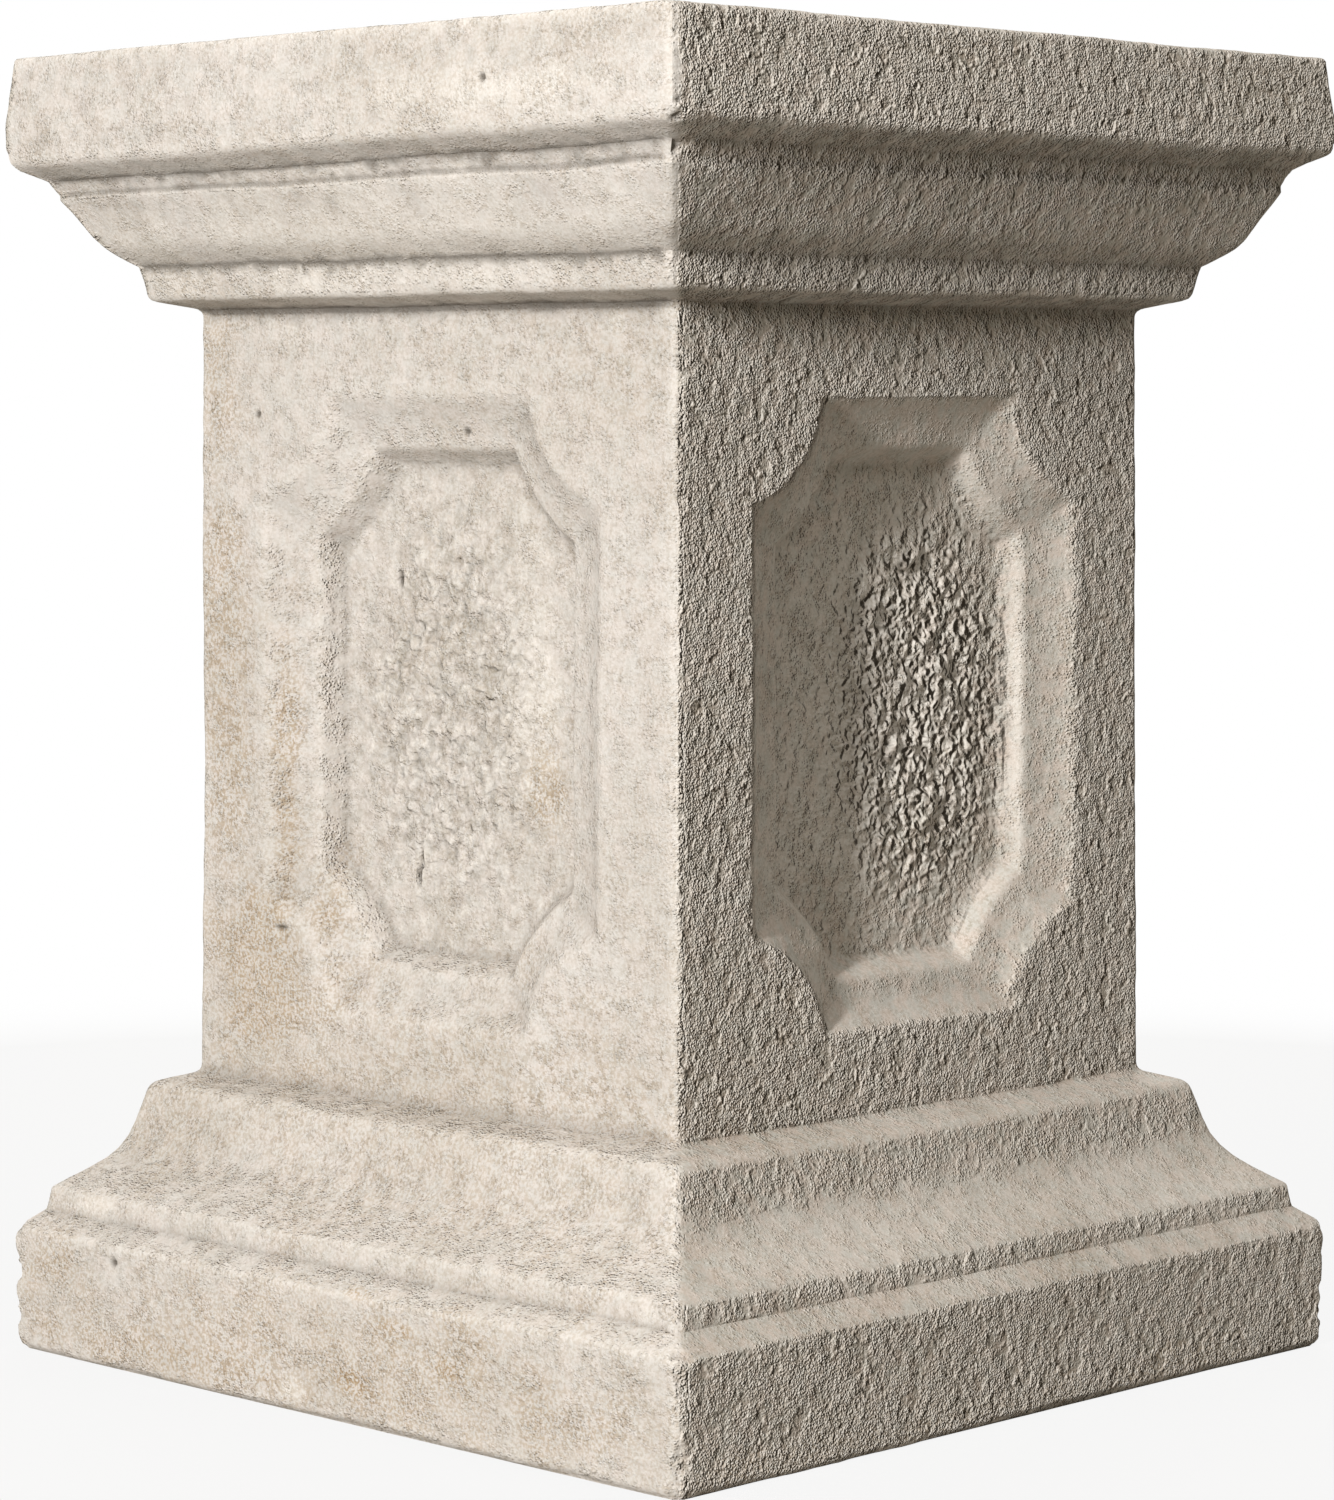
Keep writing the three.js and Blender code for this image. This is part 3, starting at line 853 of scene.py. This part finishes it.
class PEDESTAL_OT_casting(bpy.types.Operator):
    """Builds the weathered casting around the solid"""

    bl_idname = "pedestal.casting"
    bl_label = "Cast pedestal"
    bl_options = {"REGISTER", "UNDO"}

    def execute(self, context):
        settings = context.scene.pedestal_casting
        piece = even_net(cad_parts[NODE], settings.grid)
        net = Net(piece.data)
        underside = net.points[:, 2] < UNDERSIDE
        sag_mould(net, settings)
        soften_panels(net, settings)
        pecked, sunk = peck_fields(net, settings)
        wear_arrises(net, settings)
        work_by_hand(net, settings)
        chip_arrises(net, settings)
        pitted = sink_pits(net)
        seat_on_ground(net, underside)
        stand = net.proud(MARK_ROUNDS)
        face, across, out = net.by_face()
        in_cap = smoothstep(net.points[:, 2], SHAFT_HEAD_LEVEL - 20 * MM, SHAFT_HEAD_LEVEL)
        store(net.mesh, "arris", np.clip(stand / ARRIS_STAND, 0, 1))
        # Darkening in the creases and blow holes: soil, and painted shade for the shadow lines under the slab
        # and the band, so most in the cap
        crease_soil_and_shade = np.clip(-stand / np.where(face == FRONT, FRONT_CREASE_SINK, CREASE_SINK), 0, 1)
        crease_soil_and_shade *= np.where(face == FRONT, 0.3 + 0.5 * in_cap, 0.14 + 0.42 * in_cap)
        store(net.mesh, "crease_soil_and_shade", np.maximum(crease_soil_and_shade, pitted))
        store(net.mesh, "pecked", pecked * np.where(face == FRONT, FRONT_PECKING, 1))
        store(net.mesh, "mottled", np.where(face == FRONT, 0.5 * (sunk + pecked), 0.35 * pecked))
        store(net.mesh, "grit", grit_of(net))
        store(net.mesh, "from_arris", out - np.abs(across))
        upright = 1 - smoothstep(np.abs(net.normals()[:, 2]), 0.3, 0.6)
        store(net.mesh, "lapped", (face == RIGHT) * upright * (1 - smoothstep(across, -20 * MM, 20 * MM)))
        store(net.mesh, "aged", np.where(face == FRONT, FRONT_AGE, 1))
        store(net.mesh, "stain_and_base_shade", blotted(net, STAINS_AND_BASE_SHADE))
        store(net.mesh, "bloom", blotted(net, BLOOMS))
        thin_out(piece, settings.triangles, np.flatnonzero(pitted))
        piece.data.materials.append(weathered_cast_stone(context.scene.pedestal_stone))
        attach(piece, BODY)
        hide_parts(NODE)
        return {"FINISHED"}


def around(azimuth, distance, height):
    """A place round the pedestal: azimuth 0 is in front of the front face, and turns to the right."""
    return Vector((math.sin(azimuth) * distance, -math.cos(azimuth) * distance, height))


def place_camera(settings):
    lens = bpy.data.cameras.new("camera")
    lens.sensor_width = 36
    lens.sensor_fit = "AUTO"
    lens.lens = settings.lens
    camera = bpy.data.objects.new("camera", lens)
    camera.location = around(settings.camera_azimuth, settings.camera_distance, settings.camera_height)
    tilt = math.radians(90) - settings.camera_pitch
    camera.rotation_euler = (tilt, 0, settings.camera_azimuth + settings.camera_turn)
    bpy.context.scene.collection.objects.link(camera)
    bpy.context.scene.camera = camera


def place_light(name, location, width, height, power):
    """A flat rectangular light that faces the middle of the pedestal."""
    panel = bpy.data.lights.new(name, "AREA")
    panel.shape = "RECTANGLE"
    panel.size = width
    panel.size_y = height
    panel.energy = power
    light = bpy.data.objects.new(name, panel)
    middle = Vector((0, 0, HIGH.z / 2))
    light.location = middle + location
    light.rotation_euler = (-location).to_track_quat("-Z", "Y").to_euler()
    bpy.context.scene.collection.objects.link(light)


def place_lights(settings):
    level = math.cos(settings.key_elevation) * settings.key_distance
    rise = math.sin(settings.key_elevation) * settings.key_distance
    key_place = around(settings.key_azimuth, level, rise)
    place_light("key_light", key_place, settings.key_width, settings.key_height, settings.key_power)
    soft_lights = (
        ("top_light", TOP_LIGHT, settings.top_power),
        ("side_light", SIDE_LIGHT, settings.side_power),
        ("back_light", BACK_LIGHT, settings.back_power),
    )
    for name, place, power in soft_lights:
        place_light(name, around(*place), SOFT_LIGHT_SIDE, SOFT_LIGHT_SIDE, power)


def light_from_all_round(settings):
    """A dim glow on the stone, and a plain backdrop for the camera."""
    world = bpy.data.worlds.new("studio")
    bpy.context.scene.world = world
    world.use_nodes = True
    tree = world.node_tree
    tree.nodes.clear()
    glow = add(tree, "ShaderNodeBackground", {"Color": (*settings.fill_colour, 1), "Strength": settings.fill})
    plain = add(tree, "ShaderNodeBackground", {"Color": (*settings.backdrop, 1), "Strength": 1})
    ray = add(tree, "ShaderNodeLightPath", out="Is Camera Ray")
    both = add(tree, "ShaderNodeMixShader", {"Fac": ray, "Shader": glow, "Shader_001": plain})
    add(tree, "ShaderNodeOutputWorld", {"Surface": both})


def painted_floor(settings):
    """Matt white floor paint that thins out into the backdrop."""
    paint = bpy.data.materials.new("matt_floor_paint")
    paint.use_nodes = True
    tree = paint.node_tree
    tree.nodes.clear()
    place = add(tree, "ShaderNodeTexCoord", out="Object")
    reach = add(tree, "ShaderNodeVectorMath", {"Vector": place}, operation="LENGTH")
    faded = add(tree, "ShaderNodeMapRange", {
        "Value": reach, "From Min": HIGH.x * 1.2, "From Max": settings.floor_radius,
    }, interpolation_type="SMOOTHERSTEP")
    seen = add(tree, "ShaderNodeLightPath", out="Is Camera Ray")
    thin = add(tree, "ShaderNodeMath", {
        "Value": seen, "Value_001": settings.floor_thinness,
    }, operation="MULTIPLY")
    faded = add(tree, "ShaderNodeMath", {"Value": faded, "Value_001": thin}, operation="MAXIMUM")
    matt = add(tree, "ShaderNodeBsdfPrincipled", {"Base Color": (*settings.floor, 1), "Roughness": 0.9})
    clear = add(tree, "ShaderNodeBsdfTransparent")
    both = add(tree, "ShaderNodeMixShader", {"Fac": faded, "Shader": matt, "Shader_001": clear})
    add(tree, "ShaderNodeOutputMaterial", {"Surface": both})
    return paint


def lay_floor(settings):
    disc = bmesh.new()
    bmesh.ops.create_circle(disc, cap_ends=True, segments=96, radius=settings.floor_radius)
    mesh = bpy.data.meshes.new("floor")
    disc.to_mesh(mesh)
    disc.free()
    mesh.materials.append(painted_floor(settings))
    floor = bpy.data.objects.new("floor", mesh)
    bpy.context.scene.collection.objects.link(floor)


class PEDESTAL_OT_stage(bpy.types.Operator):
    """Sets up the floor, the lights and the camera"""

    bl_idname = "pedestal.stage"
    bl_label = "Set stage"
    bl_options = {"REGISTER", "UNDO"}

    def execute(self, context):
        settings = context.scene.pedestal_stage
        lay_floor(settings)
        place_lights(settings)
        light_from_all_round(settings)
        place_camera(settings)
        context.scene.view_settings.view_transform = "Standard"
        return {"FINISHED"}


class VIEW3D_PT_pedestal(bpy.types.Panel):
    bl_label = "Garden pedestal"
    bl_space_type = "VIEW_3D"
    bl_region_type = "UI"
    bl_category = "Pedestal"

    def draw(self, context):
        for group_name in GROUPS:
            group = getattr(context.scene, group_name)
            box = self.layout.box()
            for name in group.__annotations__:
                box.prop(group, name)
        self.layout.operator(PEDESTAL_OT_casting.bl_idname)
        self.layout.operator(PEDESTAL_OT_stage.bl_idname)


GROUPS = {
    "pedestal_casting": CastingSettings,
    "pedestal_stone": StoneSettings,
    "pedestal_stage": StageSettings,
}
CLASSES = (*GROUPS.values(), PEDESTAL_OT_casting, PEDESTAL_OT_stage, VIEW3D_PT_pedestal)


def register():
    for kind in CLASSES:
        bpy.utils.register_class(kind)
    for name, kind in GROUPS.items():
        setattr(bpy.types.Scene, name, bpy.props.PointerProperty(type=kind))


def unregister():
    for name in GROUPS:
        delattr(bpy.types.Scene, name)
    for kind in reversed(CLASSES):
        bpy.utils.unregister_class(kind)


def main():
    register()
    bpy.ops.pedestal.casting()
    bpy.ops.pedestal.stage()


if __name__ == "__main__":
    main()
